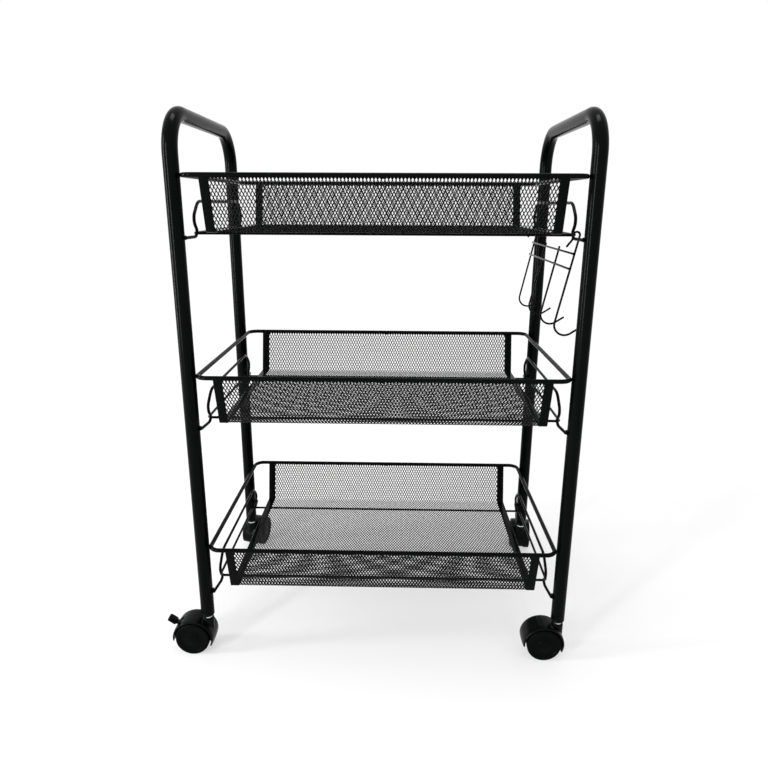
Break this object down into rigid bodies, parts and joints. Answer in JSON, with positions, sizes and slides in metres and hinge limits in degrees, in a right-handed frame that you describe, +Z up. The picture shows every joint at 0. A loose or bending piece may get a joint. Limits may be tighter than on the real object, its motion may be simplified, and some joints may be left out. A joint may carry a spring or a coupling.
{
  "type": "mobile file cart",
  "caption": "Slim rolling cart: bent tube side frames with handle tops, loose mesh trays resting between them, a swinging hook rack on one side and hooded twin-wheel casters.",
  "frame": {"origin": "on the floor under the middle of the rectangle of the four legs", "axes": "+X to the right seen from the long front side, +Y to the back, +Z up"},
  "size_m": [0.4933, 0.3032, 0.6262],
  "materials": {
    "paint": "gloss black coat on steel tube and wire",
    "mesh": "semi-gloss black coat on expanded steel sheet",
    "plastic": "satin black moulding",
    "wheel": "satin black wheel",
    "zinc": "bright zinc plate"
  },
  "bodies": {
    "frame": {"left_side_frame": "paint", "left_bottom_rung": "paint", "left_middle_rung": "paint", "left_top_rung": "paint", "right_side_frame": "paint", "right_bottom_rung": "paint", "right_middle_rung": "paint", "right_top_rung": "paint", "front_left_leg_plug": "plastic", "front_left_caster_stem": "zinc", "front_right_leg_plug": "plastic", "front_right_caster_stem": "zinc", "back_left_leg_plug": "plastic", "back_left_caster_stem": "zinc", "back_right_leg_plug": "plastic", "back_right_caster_stem": "zinc"},
    "bottom_tray": {"bottom_tray_rim": "paint", "bottom_tray_front_net": "mesh", "bottom_tray_back_net": "mesh", "bottom_tray_floor_net": "mesh", "bottom_tray_left_strip": "paint", "bottom_tray_right_strip": "paint", "bottom_tray_base_wire": "paint"},
    "middle_tray": {"middle_tray_rim": "paint", "middle_tray_front_net": "mesh", "middle_tray_back_net": "mesh", "middle_tray_floor_net": "mesh", "middle_tray_left_strip": "paint", "middle_tray_right_strip": "paint", "middle_tray_base_wire": "paint"},
    "top_tray": {"top_tray_rim": "paint", "top_tray_front_net": "mesh", "top_tray_back_net": "mesh", "top_tray_floor_net": "mesh", "top_tray_left_strip": "paint", "top_tray_right_strip": "paint", "top_tray_base_wire": "paint"},
    "hook_rack": {"hook_rack": "paint"},
    "front_left_caster": {"front_left_caster_hood": "plastic", "front_left_axle": "zinc"},
    "front_left_wheel_a": {"front_left_wheel_a": "wheel"},
    "front_left_wheel_b": {"front_left_wheel_b": "wheel"},
    "front_left_brake_lever": {"front_left_brake_lever": "plastic"},
    "front_right_caster": {"front_right_caster_hood": "plastic", "front_right_axle": "zinc"},
    "front_right_wheel_a": {"front_right_wheel_a": "wheel"},
    "front_right_wheel_b": {"front_right_wheel_b": "wheel"},
    "back_left_caster": {"back_left_caster_hood": "plastic", "back_left_axle": "zinc"},
    "back_left_wheel_a": {"back_left_wheel_a": "wheel"},
    "back_left_wheel_b": {"back_left_wheel_b": "wheel"},
    "back_right_caster": {"back_right_caster_hood": "plastic", "back_right_axle": "zinc"},
    "back_right_wheel_a": {"back_right_wheel_a": "wheel"},
    "back_right_wheel_b": {"back_right_wheel_b": "wheel"},
    "back_right_brake_lever": {"back_right_brake_lever": "plastic"}
  },
  "joints": [
    {"name": "bottom_tray_lift", "type": "slide", "parent": "frame", "child": "bottom_tray", "axis": [0, 0, 1], "range_m": [0, 0.02]},
    {"name": "middle_tray_lift", "type": "slide", "parent": "frame", "child": "middle_tray", "axis": [0, 0, 1], "range_m": [0, 0.02]},
    {"name": "top_tray_lift", "type": "slide", "parent": "frame", "child": "top_tray", "axis": [0, 0, 1], "range_m": [0, 0.02]},
    {"name": "hook_rack_swing", "type": "hinge", "parent": "frame", "child": "hook_rack", "pos_m": [0.2003, 0, 0.4956], "axis": [0, 1, 0], "range_deg": [-60, 40]},
    {"name": "front_left_swivel", "type": "hinge", "parent": "frame", "child": "front_left_caster", "pos_m": [-0.2125, -0.1195, 0.0204], "axis": [0, 0, 1], "continuous": true},
    {"name": "front_left_wheel_a_spin", "type": "hinge", "parent": "front_left_caster", "child": "front_left_wheel_a", "pos_m": [-0.2295, -0.1195, 0.0204], "axis": [0, -1, 0], "continuous": true},
    {"name": "front_left_wheel_b_spin", "type": "hinge", "parent": "front_left_caster", "child": "front_left_wheel_b", "pos_m": [-0.2295, -0.1195, 0.0204], "axis": [0, -1, 0], "continuous": true},
    {"name": "front_left_brake_press", "type": "hinge", "parent": "front_left_caster", "child": "front_left_brake_lever", "pos_m": [-0.2435, -0.1195, 0.0344], "axis": [0, -1, 0], "range_deg": [0, 14]},
    {"name": "front_right_swivel", "type": "hinge", "parent": "frame", "child": "front_right_caster", "pos_m": [0.2125, -0.1195, 0.0204], "axis": [0, 0, 1], "continuous": true},
    {"name": "front_right_wheel_a_spin", "type": "hinge", "parent": "front_right_caster", "child": "front_right_wheel_a", "pos_m": [0.1955, -0.1195, 0.0204], "axis": [0, -1, 0], "continuous": true},
    {"name": "front_right_wheel_b_spin", "type": "hinge", "parent": "front_right_caster", "child": "front_right_wheel_b", "pos_m": [0.1955, -0.1195, 0.0204], "axis": [0, -1, 0], "continuous": true},
    {"name": "back_left_swivel", "type": "hinge", "parent": "frame", "child": "back_left_caster", "pos_m": [-0.2125, 0.1195, 0.0204], "axis": [0, 0, 1], "continuous": true},
    {"name": "back_left_wheel_a_spin", "type": "hinge", "parent": "back_left_caster", "child": "back_left_wheel_a", "pos_m": [-0.20839, 0.136, 0.0204], "axis": [-0.9703, 0.2419, 0], "continuous": true},
    {"name": "back_left_wheel_b_spin", "type": "hinge", "parent": "back_left_caster", "child": "back_left_wheel_b", "pos_m": [-0.20839, 0.136, 0.0204], "axis": [-0.9703, 0.2419, 0], "continuous": true},
    {"name": "back_right_swivel", "type": "hinge", "parent": "frame", "child": "back_right_caster", "pos_m": [0.2125, 0.1195, 0.0204], "axis": [0, 0, 1], "continuous": true},
    {"name": "back_right_wheel_a_spin", "type": "hinge", "parent": "back_right_caster", "child": "back_right_wheel_a", "pos_m": [0.21457, 0.13637, 0.0204], "axis": [-0.9925, 0.1219, 0], "continuous": true},
    {"name": "back_right_wheel_b_spin", "type": "hinge", "parent": "back_right_caster", "child": "back_right_wheel_b", "pos_m": [0.21457, 0.13637, 0.0204], "axis": [-0.9925, 0.1219, 0], "continuous": true},
    {"name": "back_right_brake_press", "type": "hinge", "parent": "back_right_caster", "child": "back_right_brake_lever", "pos_m": [0.21628, 0.15027, 0.0344], "axis": [-0.9925, 0.1219, 0], "range_deg": [0, 14]}
  ]
}
